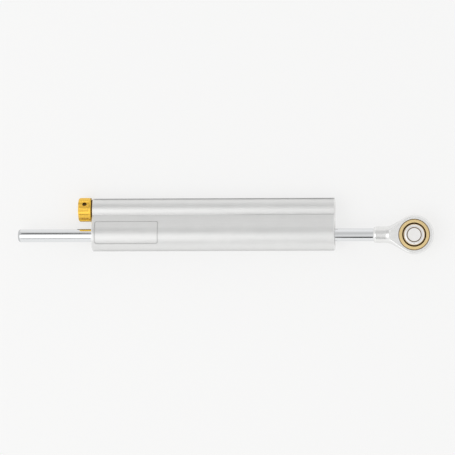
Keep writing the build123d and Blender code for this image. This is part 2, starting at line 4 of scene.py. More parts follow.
import bmesh
import bpy
import numpy as np
from bpy.props import FloatProperty, FloatVectorProperty, IntProperty, PointerProperty
from mathutils import Matrix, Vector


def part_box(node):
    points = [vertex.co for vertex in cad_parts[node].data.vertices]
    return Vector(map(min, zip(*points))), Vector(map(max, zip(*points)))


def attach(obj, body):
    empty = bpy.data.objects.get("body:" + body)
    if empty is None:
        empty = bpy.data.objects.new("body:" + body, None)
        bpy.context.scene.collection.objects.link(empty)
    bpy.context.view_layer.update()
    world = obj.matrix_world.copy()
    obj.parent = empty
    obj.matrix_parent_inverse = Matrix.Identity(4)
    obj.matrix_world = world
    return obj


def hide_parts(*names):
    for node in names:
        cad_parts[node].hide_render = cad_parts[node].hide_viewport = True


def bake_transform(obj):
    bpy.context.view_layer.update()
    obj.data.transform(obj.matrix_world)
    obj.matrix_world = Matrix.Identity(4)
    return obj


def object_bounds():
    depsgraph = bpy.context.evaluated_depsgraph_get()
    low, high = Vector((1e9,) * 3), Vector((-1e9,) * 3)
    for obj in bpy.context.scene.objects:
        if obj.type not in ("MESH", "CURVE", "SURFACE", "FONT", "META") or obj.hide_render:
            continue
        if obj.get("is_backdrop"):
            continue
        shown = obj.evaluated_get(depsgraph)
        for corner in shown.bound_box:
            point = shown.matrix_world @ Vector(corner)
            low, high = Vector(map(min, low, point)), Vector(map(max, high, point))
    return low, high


bl_info = {
    "name": "Steering Damper Looks",
    "version": (1, 0, 0),
    "blender": (4, 5, 0),
    "location": "3D View > Sidebar > Damper",
    "description": "Builds the visible surfaces, finishes and stage of a motorcycle steering damper",
    "category": "Object",
}

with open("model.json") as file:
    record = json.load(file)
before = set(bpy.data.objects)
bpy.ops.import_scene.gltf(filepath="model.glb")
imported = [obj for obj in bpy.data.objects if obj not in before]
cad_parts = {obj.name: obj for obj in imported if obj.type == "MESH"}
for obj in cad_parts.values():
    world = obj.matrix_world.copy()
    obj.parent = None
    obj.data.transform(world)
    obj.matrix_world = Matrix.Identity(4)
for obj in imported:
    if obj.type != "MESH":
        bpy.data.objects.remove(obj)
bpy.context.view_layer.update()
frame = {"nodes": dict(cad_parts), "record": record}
BODY_START, BODY_END = (corner.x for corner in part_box("damper_body"))
ROD_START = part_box("piston_rod")[0].x
EYE_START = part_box("rod_eye")[0].x
KNOB_START, KNOB_END = (corner.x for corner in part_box("adjuster_knob"))
ADJUSTER = np.mean([tuple(corner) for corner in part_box("adjuster_knob")], 0)
AXIS_GAP = math.hypot(ADJUSTER[1], ADJUSTER[2])
MM = 0.001

# How far the rounding of an edge reaches, from a keen edge to a broad one
KEEN = 0.05 * MM
CRISP = 0.08 * MM
BROKEN = 0.1 * MM
EASED = 0.15 * MM
BROAD = 0.3 * MM

# How far beyond its rounding an edge's wear fades out, on large pieces and on small ones
FADE = 0.4 * MM
SHORT_FADE = 0.1 * MM

# Points closer together than this are one point
SAME = 1e-7


def length(name, text, default):
    """A size, written here in millimetres."""
    return FloatProperty(name=name, description=text, default=default * MM, min=0.0, precision=5,
                         unit="LENGTH")


def position(name, text, default):
    """A place along an axis, written here in millimetres."""
    return FloatProperty(name=name, description=text, default=default * MM, unit="LENGTH")


def angle(name, text, default):
    """An angle, written here in degrees."""
    return FloatProperty(name=name, description=text, default=math.radians(default), subtype="ANGLE")


def share(name, text, default):
    """A number from 0 to 1."""
    return FloatProperty(name=name, description=text, default=default, min=0.0, max=1.0, subtype="FACTOR")


def whole_number(name, text, default):
    """A number of points, hollows or turns."""
    return IntProperty(name=name, description=text, default=default, min=3)


def colour(name, text, default):
    """A colour in linear light."""
    return FloatVectorProperty(name=name, description=text, default=default, min=0.0, max=1.0,
                               subtype="COLOR")


class BodySizes(bpy.types.PropertyGroup):
    """Sizes of the extruded body."""

    lobe_radius: length("Large lobe", "Radius of the lobe round the rod", 9.7475)
    small_lobe_radius: length("Small lobe", "Radius of the lobe round the adjuster", 6.7755)
    valley_angle: angle("Valley", "Angle on the small lobe where the large lobe's flank meets it", 52.7)
    valley_cut: length("Valley rounding", "Reach of the valley's rounding", 0.3)
    edge_chamfer: length("End chamfer", "Chamfer round the two end faces", 0.3)
    bore_radius: length("Bore", "Radius of the bore for the piston", 7.3)
    gland_radius: length("Gland bore", "Radius of the bore for the two glands", 7.7)
    gland_reach: length("Gland bore length", "How far in the gland bore goes", 33.1)
    mouth_depth: length("Mouth", "From the end face to the snap ring's groove", 1.6)
    groove_width: length("Groove width", "Width of the snap ring's groove", 1.0)
    groove_depth: length("Groove depth", "Depth of the snap ring's groove", 0.5)
    valve_radius: length("Valve bore", "Radius of the small bore", 4.5)
    mouth_chamfer: length("Mouth chamfer", "Chamfer at the mouths of the bores", 0.25)
    rings: whole_number("Outline points", "Points round the body's outline", 280)


class PanelSizes(bpy.types.PropertyGroup):
    """Sizes of the bare engraved outline."""

    length: length("Length", "Length of the outline along the body", 39.1)
    width: length("Width", "Width of the outline across the body", 14.2)
    end_gap: length("End gap", "From the body's left end to the outline", 1.8)
    side_shift: length("Side shift", "From the rod's axis to the outline's middle", 0.7)
    corner: length("Corner", "Radius of the outline's corners", 1.5)
    line: length("Line", "Width of the engraved line", 0.5)
    depth: length("Depth", "Depth of the engraved line", 0.3)
    soft: length("Softness", "How far the line's edges are blended", 0.1)


class RodSizes(bpy.types.PropertyGroup):
    """Sizes of the ground rod."""

    radius: length("Radius", "Radius of the rod", 4.0)
    end_cut: length("End rounding", "Reach of the free end's rounding", 1.8)
    groove_radius: length("Groove radius", "Radius at the bottom of the piston's two grooves", 3.5)
    stud_radius: length("Stud radius", "Radius of the stud in the eye", 3.0)
    stud_length: length("Stud length", "Length of the stud in the eye", 10.5)


class EyeSizes(bpy.types.PropertyGroup):
    """Sizes of the rod eye and the bearing in it."""

    shank_radius: length("Shank", "Radius of the round shank", 5.1)
    shank_chamfer: length("Shank chamfer", "Radial size of the shank's chamfer", 0.6)
    shank_chamfer_length: length("Shank chamfer length", "Length of the shank's chamfer", 1.2)
    head_radius: length("Head", "Radius of the round head", 11.99)
    head_thickness: length("Thickness", "Thickness over the two flats", 9.0)
    flat_start: length("Flat start", "From the eye's middle to the step behind the flats", 15.3)
    neck_slope: angle("Neck slope", "Slope of the cone behind the head", 30.0)
    neck_fillet: length("Neck fillet", "Radius between the shank and the cone", 10.0)
    edge_cut: length("Edge rounding", "Reach of the rounding of the flats' edges", 0.35)
    race_radius: length("Race", "Outer radius of the race", 9.36)
    race_gap: length("Race gap", "Width of the joint round the race at the flats", 0.25)
    race_mouth: length("Race mouth", "Inner radius of the race at its faces", 7.3)
    ball_radius: length("Ball", "Radius of the ball", 7.9375)
    ball_face: length("Ball face", "Outer radius of the ball's flat faces", 5.2)
    bore_radius: length("Bore", "Radius of the ball's bore", 4.0)
    bore_chamfer: length("Bore chamfer", "Chamfer of the ball's bore", 0.45)
    play: length("Play", "Gap between the ball and the race", 0.03)


class KnobSizes(bpy.types.PropertyGroup):
    """Sizes of the adjuster's knob."""

    radius: length("Radius", "Radius of the knob", 7.2975)
    corner: length("Corner", "Radius of the outer corner", 1.3)
    chamfer: length("Chamfer", "Chamfer of the inner rim", 0.35)
    cap: length("Cap", "Thickness over the spindle's end", 2.0)
    hole_radius: length("Spindle hole", "Radius of the hole for the spindle", 2.02)
    flutes: whole_number("Flutes", "Hollows round the knob", 8)
    flute_radius: length("Flute radius", "Radius of the cutter that makes a hollow", 3.0)
    flute_depth: length("Flute depth", "Depth of a hollow", 0.95)
    flute_stop: length("Flute stop", "Width of the full rim", 1.1)
    flute_angle: angle("First flute", "Angle of the hollow with the set screw, from straight up", 32.0)
    edge: length("Edge rounding", "Rounding between a hollow and the knob", 0.14)
    screw_radius: length("Screw hole", "Radius of the set screw's hole", 1.25)
    screw_floor: length("Screw floor", "From the knob's axis to the recess over the screw", 5.6)


class SpringSizes(bpy.types.PropertyGroup):
    """Sizes of the spring behind the compensator piston."""

    wire: length("Wire", "Thickness of the wire", 0.8)
    turns: whole_number("Turns", "Turns of the wire, the two closed end turns included", 7)
    gap: length("End gap", "Gap between the wire of a closed end turn and the next", 0.05)


class FinishColours(bpy.types.PropertyGroup):
    """Colours of the finishes."""

    silver: colour("Anodised silver", "The body", (0.79, 0.79, 0.782))
    chrome: colour("Hard chrome", "The rod", (0.81, 0.82, 0.83))
    eye_steel: colour("Eye steel", "The plated rod eye", (0.85, 0.85, 0.84))
    race: colour("Race", "The chromated race", (0.86, 0.66, 0.34))
    ball: colour("Ball", "The polished ball", (0.90, 0.88, 0.86))
    # Also the colour of the painted shade at the race's rounded edges and the painted dark reflection on the
    # ball's bore
    grease_and_shade: colour("Grease", "Old grease in the bearing's joints", (0.17, 0.095, 0.03))
    gold: colour("Anodised gold", "The knob", (0.92, 0.57, 0.09))
    # The collar's dark brown is its dark finish and also painted shade, standing for the gap between knob and
    # body
    black: colour("Anodised black", "The collar", (0.10, 0.065, 0.035))
    black_steel: colour("Black steel", "The set screw and snap rings", (0.05, 0.05, 0.052))
    aluminium: colour("Turned aluminium", "The glands, the plug and the valve's pieces", (0.78, 0.78, 0.78))
    steel: colour("Stainless steel", "Spindle, needle and spring", (0.62, 0.61, 0.59))
    bronze: colour("Bush bronze", "The guide bushes", (0.60, 0.40, 0.18))
    plastic: colour("Piston band", "The piston's band", (0.09, 0.07, 0.05))
    rubber: colour("Rubber", "Seals, wipers and rings", (0.02, 0.02, 0.021))


class StageSizes(bpy.types.PropertyGroup):
    """Sizes of the camera, lamps and floor."""

    camera_height: length("Camera height", "From the rod's axis up to the camera", 2500.0)
    camera_x: position("Camera X", "The camera's place along the rod", 60.0)
    view_x: position("View X", "The picture's middle along the rod", -114.3)
    view_y: position("View Y", "The picture's middle across the rod", 4.68)
    view_width: length("View width", "Width that the picture takes in at the rod's height", 278.5)
    tilt: angle("Tilt", "How far the camera is turned in the picture's plane", -0.19)
    floor_size: length("Floor", "Side of the floor", 12000.0)
    floor_shade: share("Floor shade", "How pale the floor is", 0.90)
    floor_glow: share("Floor glow", "Share of its paleness that stays in shadow", 0.68)
    horizon_level: share("Horizon", "Level of the light from the sides", 0.93)
    zenith_level: share("Zenith", "Level of the light from straight above", 0.64)


# Shader expressions


class Shade:
    """One output of a shader node. Arithmetic on it adds Math nodes, and node() adds any other node."""

    def __init__(self, tree, socket=None):
        self.tree = tree
        self.socket = socket

    def node(self, kind, inputs=None, output=0, **settings):
        """Adds a node, makes its settings first, fills its sockets and returns one of its outputs."""
        made = self.tree.nodes.new("ShaderNode" + kind)
        for name, value in settings.items():
            setattr(made, name, value)
        for name, value in (inputs or {}).items():
            if isinstance(value, Shade):
                self.tree.links.new(value.socket, made.inputs[name])
            else:
                made.inputs[name].default_value = value
        return Shade(self.tree, made.outputs[output])

    def maths(self, operation, *values):
        return self.node("Math", dict(enumerate(values)), operation=operation)

    def __add__(self, other):
        return self.maths("ADD", self, other)

    def __radd__(self, other):
        return self.maths("ADD", other, self)

    def __sub__(self, other):
        return self.maths("SUBTRACT", self, other)

    def __rsub__(self, other):
        return self.maths("SUBTRACT", other, self)

    def __mul__(self, other):
        return self.maths("MULTIPLY", self, other)

    def __rmul__(self, other):
        return self.maths("MULTIPLY", other, self)

    def clipped(self, low, high):
        """This value kept between two limits."""
        return self.maths("MINIMUM", self.maths("MAXIMUM", self, low), high)

    def between(self, low, high):
        """0 below low, 1 above high and straight in between."""
        inputs = {"Value": self, "From Min": low, "From Max": high}
        return self.node("MapRange", inputs, clamp=True)

    def mixed(self, first, second):
        """A colour between two colours, with this value as the share of the second."""
        return self.node("Mix", {0: self, 6: first, 7: second}, 2, data_type="RGBA")

    def shown(self, owner="Material"):
        """Links this output to a new output node of a material or world."""
        end = self.tree.nodes.new("ShaderNodeOutput" + owner)
        self.tree.links.new(self.socket, end.inputs[0])


WHITE = (1.0, 1.0, 1.0)

# Noise scales, in bumps to a metre
CLOUDS = 140.0
SPECKS = 2600.0
PORES = 3200.0
SOFT_CLOUDS = 260.0
FLOOR_CLOUDS = 3.0


def shaded(colour_value, level):
    """A colour made lighter or darker, as four numbers."""
    return tuple(min(1.0, part * level) for part in colour_value) + (1.0,)


def expressions(owner):
    """The start of the expressions of a new material or world, whose nodes are cleared first."""
    owner.use_nodes = True
    owner.node_tree.nodes.clear()
    return Shade(owner.node_tree)


def noise(place, scale, stretch=(1, 1, 1), detail=3.0, rough=0.55):
    """Noise on coordinates, stretched by a scale along each axis."""
    spot = place.node("Mapping", {"Vector": place, "Scale": stretch})
    inputs = {"Vector": spot, "Scale": scale, "Detail": detail, "Roughness": rough}
    return place.node("TexNoise", inputs, "Fac")


def metal(name, base, rough, grain, fineness, bump=0.1, mottle=0.05, worn_and_painted_light=0.35, darkening=0.75, film=0.0,
          soil_and_shade=None):
    """A metal finish: fine tool marks stretched by grain, broad mottling and tiny specks. Where the
    piece's wear and painted light attribute is above zero, edges are rubbed brighter and smoother, and on
    the race's faces it is a painted highlight. Where it is below zero, the metal is darker: dirt and grease
    in joints, painted shade with some dirt in the body's valleys and engraved line, painted shade in the
    knob's screw hole and at the race's rounded edges, and a painted dark reflection on the ball's bore
    chamfers. A film is the clear layer that anodising leaves. The dark colour is the metal's own colour,
    darkened, or the given soil and shade colour."""
    material = bpy.data.materials.new(name)
    start = expressions(material)
    place = start.node("TexCoord", output="Object")
    wear = start.node("Attribute", output="Fac", attribute_name="wear")
    marks = noise(place, 1.0, tuple(fineness * part for part in grain), 4.0, 0.6)
    clouds = noise(place, CLOUDS, detail=4.0, rough=0.6)
    specks = noise(place, SPECKS, detail=2.0, rough=0.5).between(0.62, 0.72)
    # Above zero: edges rubbed by use, and the painted highlight across the race's faces
    ragged = (wear * (clouds * 0.9 + 0.45)).clipped(0.0, 1.0)
    # Below zero: dirt and grease, and painted shade and a painted dark reflection where the pieces set them
    darkened_share = (wear * (clouds * -0.5 - 0.7)).clipped(0.0, 1.0)
    tone = (marks * 0.6 + clouds * 0.4).between(0.35, 0.65)
    skin = tone.mixed(shaded(base, 1.0 - mottle), shaded(base, 1.0 + mottle))
    # The dark colour of dirt, grease and painted shade
    dirt_and_shade = shaded(base, 0.12) if soil_and_shade is None else shaded(soil_and_shade, 1.0)
    dusty = (specks * (mottle * 3.0)).mixed(skin, shaded(base, 0.72))
    rubbed_and_highlit = (ragged * worn_and_painted_light).mixed(dusty, shaded(base, 1.25))
    uneven = marks * (rough * 0.5) + clouds * (rough * 0.35) + rough * 0.58
    bumps = {"Strength": bump, "Distance": 0.02 * MM, "Height": marks * 0.7 + specks * 0.3}
    inputs = {
        "Base Color": (darkened_share * darkening).mixed(rubbed_and_highlit, dirt_and_shade),
        "Roughness": (uneven - ragged * (rough * 0.3) + darkened_share * 0.3).clipped(0.02, 1.0),
        "Normal": start.node("Bump", bumps),
        "Metallic": 1.0,
        "Coat Weight": film,
        "Coat Roughness": 0.25,
        "Coat IOR": 1.6,
    }
    start.node("BsdfPrincipled", inputs).shown()
    return material


def soft_plain(name, base, roughness):
    """A rubber or plastic finish: mottled tone, fine pores and a dull, uneven gloss."""
    material = bpy.data.materials.new(name)
    start = expressions(material)
    place = start.node("TexCoord", output="Object")
    clouds = noise(place, SOFT_CLOUDS, rough=0.5)
    bumps = {"Strength": 0.2, "Distance": 0.03 * MM, "Height": noise(place, PORES, rough=0.6)}
    inputs = {
        "Base Color": clouds.between(0.3, 0.7).mixed(shaded(base, 0.8), shaded(base, 1.5)),
        "Roughness": (clouds * 0.25 + (roughness - 0.1)).clipped(0.05, 1.0),
        "Normal": start.node("Bump", bumps),
    }
    start.node("BsdfPrincipled", inputs).shown()
    return material


# How the tool marks are stretched: drawn along X, turned about X, turned about Z, or even
ALONG_X = (0.012, 1.0, 1.0)
ROUND_X = (1.0, 0.02, 0.02)
ROUND_Z = (0.02, 0.02, 1.0)
EVEN = (1.0, 1.0, 1.0)


def finishes(tints):
    """Every finish by the record's slot name. A metal's numbers are its roughness, the fineness of its
    marks, and how strong its bumps and its mottling are."""
    # Grease in the bearing's joints, and painted shade on the race's edges and a painted dark reflection at
    # the ball's bore
    greasy_and_shaded = {"soil_and_shade": tints.grease_and_shade}
    made = [
        metal("anodised_silver", tints.silver, 0.46, ALONG_X, 2400.0, 0.22, 0.035, worn_and_painted_light=0.5, darkening=0.45,
              film=1.0),
        metal("hard_chrome", tints.chrome, 0.07, ROUND_X, 5200.0, 0.03, 0.01, worn_and_painted_light=0.2),
        metal("eye_steel", tints.eye_steel, 0.24, ROUND_X, 3600.0, 0.12, 0.03, worn_and_painted_light=0.5, darkening=0.95, **greasy_and_shaded),
        metal("race_bronze", tints.race, 0.22, ROUND_Z, 3600.0, worn_and_painted_light=0.4, darkening=0.85, **greasy_and_shaded),
        metal("ball_steel", tints.ball, 0.09, ROUND_Z, 3600.0, 0.03, 0.01, worn_and_painted_light=0.3, darkening=0.9, **greasy_and_shaded),
        metal("anodised_gold", tints.gold, 0.28, ROUND_X, 3000.0, 0.08, 0.04, worn_and_painted_light=0.2, darkening=0.95),
        # Dark collar, partly painted shade of the gap behind the knob
        metal("anodised_black", tints.black, 0.34, ROUND_X, 3000.0, 0.12, 0.08, worn_and_painted_light=0.3),
        metal("black_steel", tints.black_steel, 0.38, EVEN, 2200.0, 0.15, 0.10, worn_and_painted_light=0.4),
        metal("turned_aluminium", tints.aluminium, 0.26, ROUND_X, 3600.0, 0.15, 0.03, worn_and_painted_light=0.4),
        metal("stainless_steel", tints.steel, 0.24, ROUND_X, 3600.0, 0.12, 0.04, worn_and_painted_light=0.4),
        metal("bush_bronze", tints.bronze, 0.30, ROUND_X, 3200.0, 0.14, 0.07, worn_and_painted_light=0.3),
        soft_plain("piston_band_plastic", tints.plastic, 0.55),
        soft_plain("seal_rubber", tints.rubber, 0.6),
    ]
    return {material.name: material for material in made}


# Surfaces


def ease(t):
    """0 below 0, 1 above 1 and 3tt - 2ttt in between."""
    t = np.clip(t, 0, 1)
    return t * t * (3 - 2 * t)


def unit(vectors):
    """Vectors divided by their lengths."""
    return vectors / np.maximum(np.linalg.norm(vectors, axis=-1, keepdims=True), 1e-12)


def curved(first, corner, last, t):
    """The curve (1-t)(1-t) A + 2t(1-t) P + t t B, which runs from A to B and bends towards P."""
    return (1 - t) ** 2 * first + 2 * t * (1 - t) * corner + t**2 * last


def rounded(corners, cuts, fade=FADE, steps=6):
    """An open polyline with rounded corners, and how worn each of its points is. The curve at a corner
    starts and ends a cut's length from it on its two sides, and is worn a little less at its two ends. One
    more point on each side, a fade's length further, ends the wear. No point passes a side's middle."""
    corners = np.asarray(corners, float)
    cuts = np.asarray(cuts, float)[:, None]
    reach = np.where(cuts > 0, cuts + fade, 0)
    sides = []
    for neighbour in (1, -1):
        way = np.roll(corners, neighbour, 0) - corners
        room = 0.49 * np.linalg.norm(way, axis=1, keepdims=True)
        sides.append([(corners + unit(way) * np.minimum(far, room))[:, None] for far in (cuts, reach)])
    (first, before), (last, after) = sides
    t = np.linspace(0, 1, steps)[None, :, None]
    points = np.concatenate([before, curved(first, corners[:, None], last, t), after], 1)
    wear = np.concatenate([[0.0], np.where(np.abs(t[0, :, 0] - 0.5) < 0.45, 1.0, 0.7), [0.0]])
    wear = np.where(cuts > 0, wear, 0.0)
    points, wear = points.reshape(-1, 2), wear.reshape(-1)
    fresh = np.linalg.norm(points - np.roll(points, 1, 0), axis=1) > SAME / 10
    fresh[0] = True
    return points[fresh], wear[fresh]


def mirrored(half, cuts, fade):
    """A rounded outline from its upper half, carried on through the mirror image of that."""
    half = np.array(half)
    return rounded(np.concatenate([half, half[::-1] * [-1, 1]]), cuts + cuts[::-1], fade)


def arc(middle, radius, start, end, count):
    """Points (a + r cos t, b + r sin t) for angles t in degrees from start to end."""
    turn = np.radians(np.linspace(start, end, count))
    return np.stack([middle[0] + radius * np.cos(turn), middle[1] + radius * np.sin(turn)], 1)


def turned(outline, wear, middle, upright=False, columns=128):
    """A surface of revolution from (along, radius) points. At the angle t a point lies at along on the
    axis and at radius times (cos t, sin t) across it. The axis is X through the middle, or Z if upright."""
    turn = np.linspace(0, math.tau, columns, endpoint=False)
    along = np.repeat(outline[:, :1], columns, 1)
    one, two = outline[:, 1:] * np.cos(turn), outline[:, 1:] * np.sin(turn)
    axes = (one, two, along) if upright else (along, one, two)
    return np.stack(axes, -1) + np.asarray(middle), np.repeat(wear[:, None], columns, 1)


def grid_faces(rows, columns, loop):
    """Corner numbers of the quads of a grid that closes from its last column to its first, and in a loop
    also from its last row to its first."""
    down = np.arange(rows if loop else rows - 1)[:, None]
    across = np.arange(columns)[None, :]
    below, beside = (down + 1) % rows, (across + 1) % columns
    rows_and_columns = (down, across), (down, beside), (below, beside), (below, across)
    quads = [row * columns + column for row, column in rows_and_columns]
    return np.stack(np.broadcast_arrays(*quads), -1).reshape(-1, 4)


def piece(name, grids, slot, replaced, body=None, loops=(), fill_ends=(), crease=32.0):
    """Makes one object of several grids: joins them, closes poles and seams, fills flat ends, turns the
    faces outwards, smooths it up to a crease angle, gives it a slot's finish and puts it in a node's
    place."""
    points, wear, faces, count = [], [], [], 0
    for number, (grid, worn_and_painted_light) in enumerate(grids):
        points.append(grid.reshape(-1, 3))
        wear.append(worn_and_painted_light.reshape(-1))
        faces.append(grid_faces(*grid.shape[:2], number in loops) + count)
        count += len(points[-1])
    points, wear, faces = np.concatenate(points), np.concatenate(wear), np.concatenate(faces)
    mesh = bpy.data.meshes.new(name)
    mesh.vertices.add(len(points))
    mesh.vertices.foreach_set("co", points.astype(np.float32).ravel())
    mesh.loops.add(faces.size)
    mesh.loops.foreach_set("vertex_index", faces.astype(np.int32).ravel())
    mesh.polygons.add(len(faces))
    mesh.polygons.foreach_set("loop_start", np.arange(0, faces.size, 4, dtype=np.int32))
    mesh.update(calc_edges=True)
    mesh.attributes.new("wear", "FLOAT", "POINT").data.foreach_set("value", wear.astype(np.float32))
    close_up(mesh, fill_ends)
    mesh.polygons.foreach_set("use_smooth", np.ones(len(mesh.polygons), bool))
    mesh.set_sharp_from_angle(angle=math.radians(crease))
    mesh.materials.append(bpy.data.materials[slot])
    made = bpy.data.objects.new(name, mesh)
    bpy.context.scene.collection.objects.link(made)
    if body:
        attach(made, body)
    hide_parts(replaced)
    return made


def close_up(mesh, fill_ends):
    """Merges what coincides, fills the open edges that lie at the given places along X, and turns all faces
    outwards."""
    work = bmesh.new()
    work.from_mesh(mesh)
    bmesh.ops.remove_doubles(work, verts=work.verts, dist=SAME)
    for place in fill_ends:
        rim = [edge for edge in work.edges if edge.is_boundary]
        rim = [edge for edge in rim if all(abs(vertex.co.x - place) < SAME for vertex in edge.verts)]
        bmesh.ops.triangle_fill(work, edges=rim, use_beauty=True)
    bmesh.ops.recalc_face_normals(work, faces=work.faces)
    work.to_mesh(mesh)
    work.free()
    mesh.update()


# Body


# Points along the large lobe, a flank, the small lobe and a valley's rounding, before the outline is sampled
LOBE_POINTS, FLANK_POINTS, SMALL_LOBE_POINTS, VALLEY_POINTS = 1200, 200, 900, 16

# Spacing of the points across the engraved line, and how far before it and past its corners they reach
LINE_STEP, LINE_BEFORE, LINE_AFTER = 0.06 * MM, 0.2 * MM, 0.3 * MM


def outline_of(size):
    """The body's outline as many points (along the line of centres, across it), from the upper valley
    over the large lobe, the lower valley and the small lobe back to the start. The flanks are tangents
    from the valleys to the large lobe. A curve between points just beside it rounds each valley."""
    big, small, back = size.lobe_radius, size.small_lobe_radius, size.valley_angle
    valley = np.array([AXIS_GAP - small * math.cos(back), small * math.sin(back)])
    tangent = math.degrees(math.atan2(valley[1], valley[0]) + math.acos(big / np.linalg.norm(valley)))
    lobe = arc((0, 0), big, tangent, 360 - tangent, LOBE_POINTS)
    flank = valley + (lobe[0] - valley) * np.linspace(0, 1, FLANK_POINTS)[:, None]
    free = 180 - math.degrees(back)
    bite = math.degrees(size.valley_cut / small)
    little = arc((AXIS_GAP, 0), small, bite - free, free - bite, SMALL_LOBE_POINTS)
    start = valley + unit(lobe[0] - valley) * size.valley_cut
    bend = curved(little[-1], valley, start, np.linspace(0, 1, VALLEY_POINTS)[:, None])
    upper = np.concatenate([bend, flank[np.linalg.norm(flank - valley, axis=1) > size.valley_cut]])
    return np.concatenate([upper, lobe[1:-1], (upper * [1, -1])[::-1], little[1:-1]])


def line_steps(panel):
    """Distances inwards from the engraved outline's edge, close together across the line and its corners."""
    return np.arange(-LINE_BEFORE, panel.corner + LINE_AFTER, LINE_STEP)


def sampled_outline(size, panel):
    """Points and outward normals round the outline, closer together in the valleys and beside the
    engraved line. They are read off at chosen lengths along the outline."""
    outline = outline_of(size)
    closed = np.concatenate([outline, outline[:1]])
    run = np.concatenate([[0], np.cumsum(np.linalg.norm(np.diff(closed, axis=0), axis=1))])
    side = unit(np.roll(outline, -1, 0) - np.roll(outline, 1, 0))
    normals = np.stack([side[:, 1], -side[:, 0]], 1)
    normals = np.concatenate([normals, normals[:1]])
    left = int(np.argmin(outline[:, 0]))
    edges = panel.side_shift + np.array([-0.5, 0.5]) * panel.width
    bands = edges[:, None] + np.sign(panel.side_shift - edges)[:, None] * line_steps(panel)
    fine = np.interp(bands.ravel(), outline[left::-1, 0], run[left::-1])
    count = VALLEY_POINTS + 2
    near, half_way = run[:count], run[count] / 2
    valleys = np.concatenate([near, run[-1] - near, run[2 * left] + near - half_way])
    places = np.concatenate([np.linspace(0, run[-1], size.rings, endpoint=False), fine, valleys])
    places = np.unique(np.round(np.mod(places, run[-1]), 8))
    closest = 0.01 * MM
    places = places[np.concatenate([np.diff(places) > closest, [True]])]
    points = np.stack([np.interp(places, run, closed[:, axis]) for axis in (0, 1)], 1)
    outward = unit(np.stack([np.interp(places, run, normals[:, axis]) for axis in (0, 1)], 1))
    return points, outward


def engraved(along, across, panel):
    """How deep the engraving is at a point. The distance to a rounded rectangle is the length of the part of
    q = |p - centre| - half size + corner that is above zero, plus the greater part of q where that is below
    zero, less the corner. The line lies where it is from minus its width to zero, with blended edges."""
    half = np.array([panel.length / 2, panel.width / 2])
    centre = np.array([panel.end_gap + half[0], panel.side_shift])
    q = np.abs(np.stack(np.broadcast_arrays(along, across), -1) - centre) - half + panel.corner
    edge = np.linalg.norm(np.maximum(q, 0), axis=-1) + np.minimum(q.max(-1), 0) - panel.corner
    return panel.depth * ease(0.5 - edge / panel.soft) * ease(0.5 + (edge + panel.line) / panel.soft)


def body_skin(size, panel):
    """The extruded skin: the outline carried along X, drawn in along its normals at the two chamfered
    ends and sunk along them where the line is engraved. The valleys are painted darker, painted shade with
    some dirt, more of it towards the right, and the engraved line is painted darker, painted shade with dirt."""
    points, outward = sampled_outline(size, panel)
    span, corner = BODY_END - BODY_START, size.edge_chamfer
    inset, valley_dark_reach, rows = 1.0 * MM, 0.3 * MM, 36
    end, end_wear = rounded([(0, inset), (0, corner), (corner, 0), (3 * corner, 0)], [0, CRISP, CRISP, 0])
    fine = [panel.end_gap + line_steps(panel), panel.end_gap + panel.length - line_steps(panel)]
    middle = np.concatenate([np.linspace(4 * corner, span - 4 * corner, rows), *fine])
    middle = np.unique(np.round(middle, 7))
    middle = middle[middle > 3.2 * corner]
    along = np.concatenate([end[:, 0], middle, span - end[::-1, 0]])
    drawn = np.concatenate([end[:, 1], 0 * middle, end[::-1, 1]])
    wear = np.concatenate([end_wear, 0 * middle, end_wear[::-1]])
    sunk = engraved(along[:, None], points[None, :, 0], panel) * (points[:, 1] > 0)
    section = points[None] - outward[None] * (drawn[:, None] + sunk)[..., None]
    valley = AXIS_GAP - size.small_lobe_radius * math.cos(size.valley_angle)
    # Painted shade with some dirt along the valleys' crease, stronger towards the right
    beside = np.exp(-(((points[:, 0] - valley) / valley_dark_reach) ** 2))[None, :]
    dirt_and_shade = beside * (0.08 + 0.5 * ease((along[:, None] / span - 0.45) / 0.3))
    # Half the engraving's depth share is taken off, so the engraved line is darker: painted shade with dirt
    return placed_on_body(along, section), wear[:, None] - 0.5 * sunk / panel.depth - dirt_and_shade


def placed_on_body(along, section):
    """Turns section coordinates into the part's: the line of centres runs from the rod to the adjuster."""
    towards = ADJUSTER[1:] / AXIS_GAP
    upwards = np.array([-towards[1], towards[0]])
    flat = section[..., :1] * towards + section[..., 1:] * upwards
    x = np.broadcast_to(BODY_START + along[:, None, None], flat.shape[:-1] + (1,))
    return np.concatenate([x, flat], -1)


def mirrored_bore(half, cuts, middle):
    """A bore through the body from its half outline, repeated end for end."""
    outline, wear = rounded(half, cuts, FADE / 2, 4)
    far = outline[::-1] * [-1, 1] + [BODY_END - BODY_START, 0]
    both = np.concatenate([outline, far])
    return turned(both + [BODY_START, 0], np.concatenate([wear, wear[::-1]]), middle)


def rod_bore(size):
    """The bore for the glands and the piston, with the two snap ring grooves."""
    start, radius = size.mouth_depth, size.gland_radius
    end, groove = start + size.groove_width, radius + size.groove_depth
    mouth = [(0, radius + size.mouth_chamfer), (size.mouth_chamfer, radius)]
    ring = [(start, radius), (start, groove), (end, groove), (end, radius)]
    step = [(size.gland_reach, radius), (size.gland_reach, size.bore_radius)]
    return mirrored_bore(mouth + ring + step, [0, KEEN] + 6 * [0], (0, 0, 0))


def valve_bore(size):
    """The bore for the adjuster, the needle and the plug."""
    radius, depth = size.valve_radius, 20 * MM
    half = [(0, radius + size.mouth_chamfer), (size.mouth_chamfer, radius), (depth, radius)]
    return mirrored_bore(half, [0, KEEN, 0], (0, ADJUSTER[1], ADJUSTER[2]))


